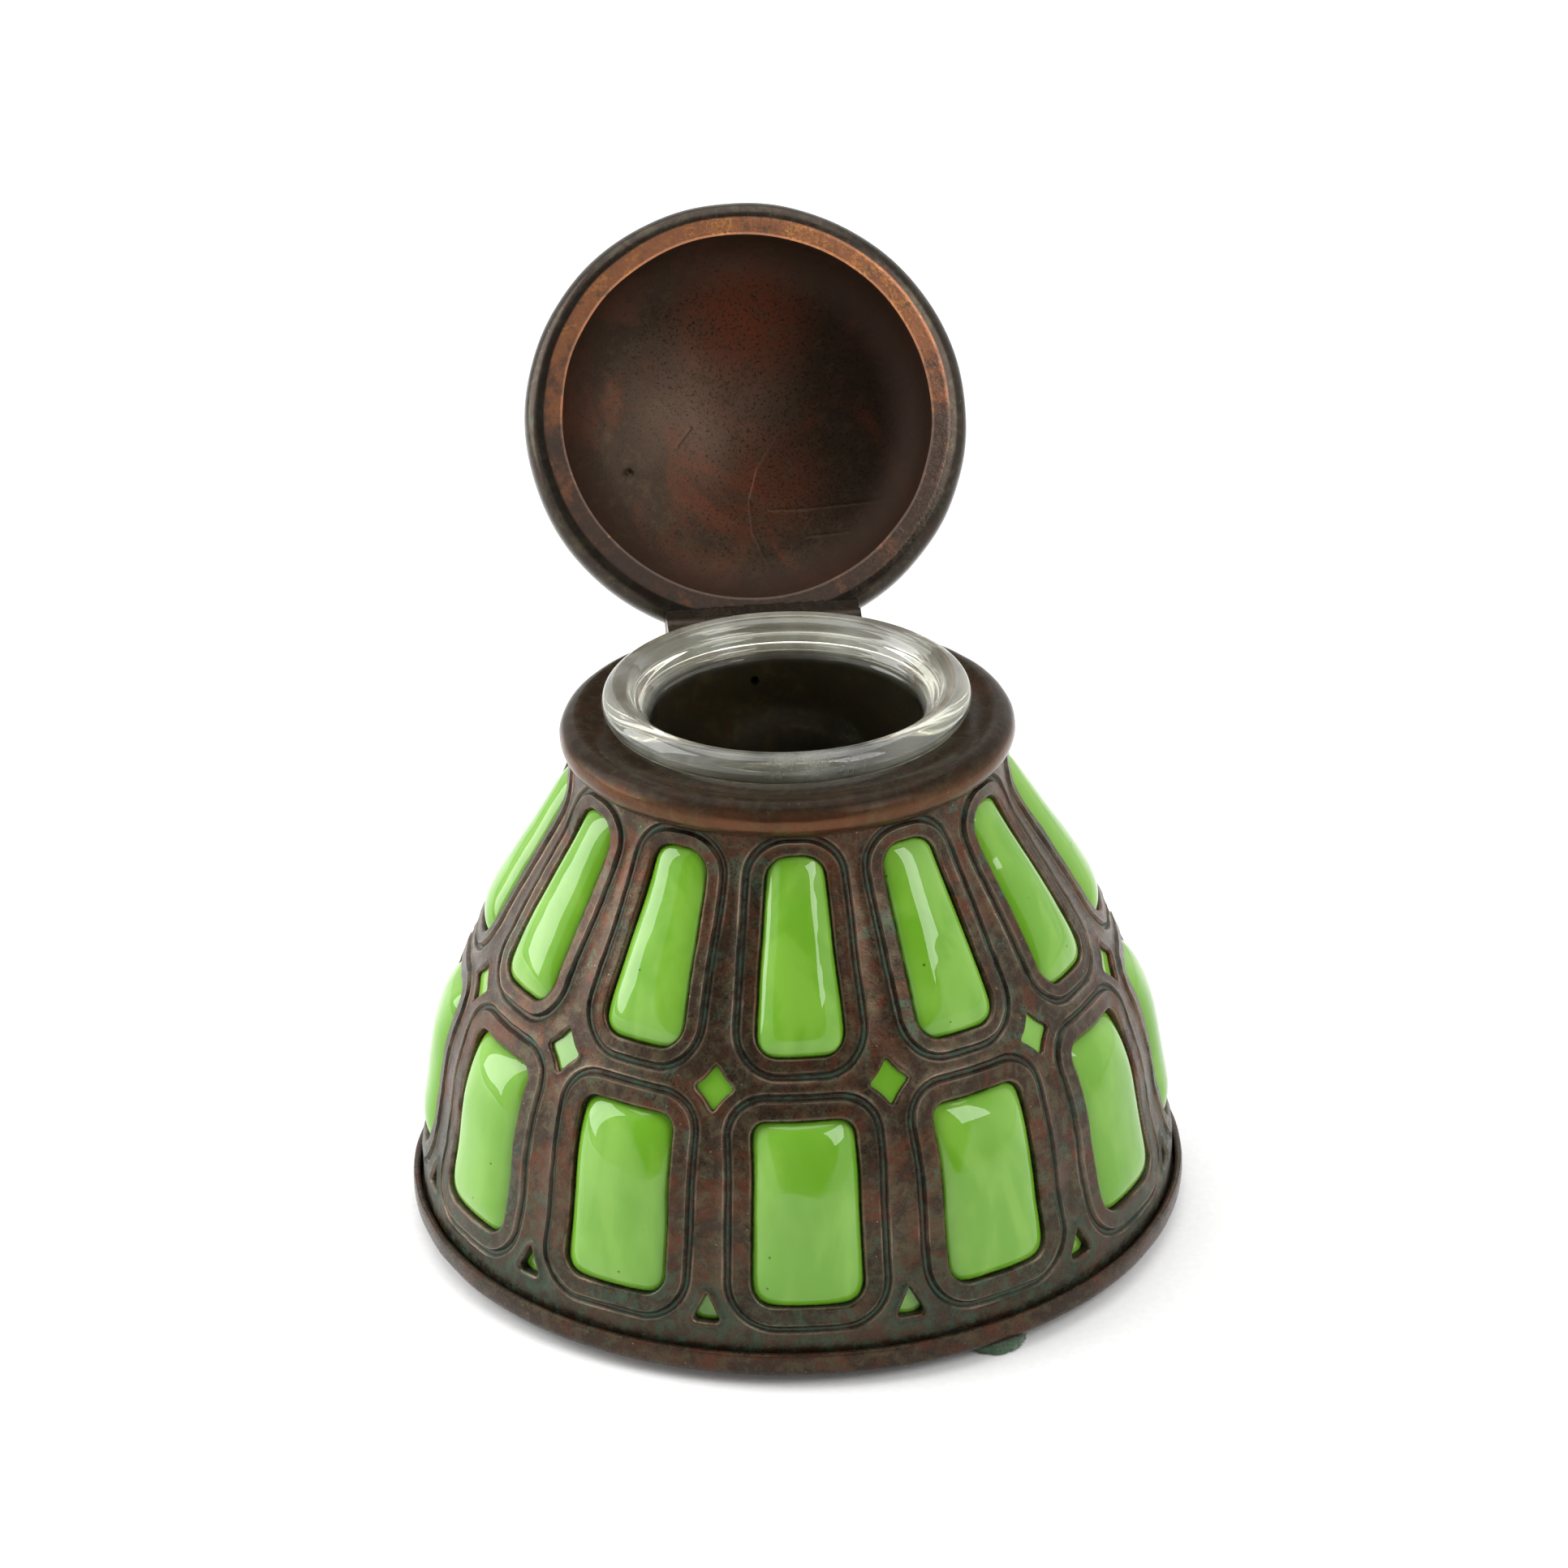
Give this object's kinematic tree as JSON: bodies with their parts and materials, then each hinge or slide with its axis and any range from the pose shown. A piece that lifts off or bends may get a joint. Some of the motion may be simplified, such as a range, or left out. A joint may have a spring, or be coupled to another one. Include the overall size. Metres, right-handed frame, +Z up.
{
  "type": "inkwell",
  "caption": "Pierced bronze cage inkwell lined with blown green glass, with a hinged domed lid, a lift-out clear glass ink liner and a felt-padded base dish.",
  "frame": {"origin": "centre of the round body on the plane it rests on (undersides of the felt pads)", "axes": "+Z up, +Y towards the lid's hinge at the back, +X to the right seen from the front"},
  "size_m": [0.107, 0.122, 0.1209],
  "materials": {
    "bronze": "dark brown patina with green in the recesses",
    "bronze_bare": "plain turned metal, dulled",
    "green_glass": "opaque apple-green blown glass, fire-polished",
    "clear_glass": "clear pressed glass with a ground rim",
    "felt": "dark green wool felt"
  },
  "bodies": {
    "body": {"base_dish": "bronze", "felt_pad_1": "felt", "felt_pad_2": "felt", "felt_pad_3": "felt", "felt_pad_4": "felt", "base_screws": "bronze_bare", "screw_lug_1": "bronze_bare", "screw_lug_2": "bronze_bare", "screw_lug_3": "bronze_bare", "cage": "bronze", "blown_glass": "green_glass", "collar": "bronze", "well_cup": "bronze", "hinge_leaf_collar": "bronze", "hinge_pin": "bronze_bare"},
    "lid": {"lid": "bronze", "hinge_leaf_lid": "bronze"},
    "liner": {"ink_liner": "clear_glass"}
  },
  "joints": [
    {"name": "lid_hinge", "type": "hinge", "parent": "body", "child": "lid", "pos_m": [0, 0.0299, 0.0713], "axis": [1, 0, 0], "range_deg": [0, 123]},
    {"name": "liner_lift", "type": "slide", "parent": "body", "child": "liner", "axis": [0, 0, 1], "range_m": [0, 0.0008]}
  ]
}
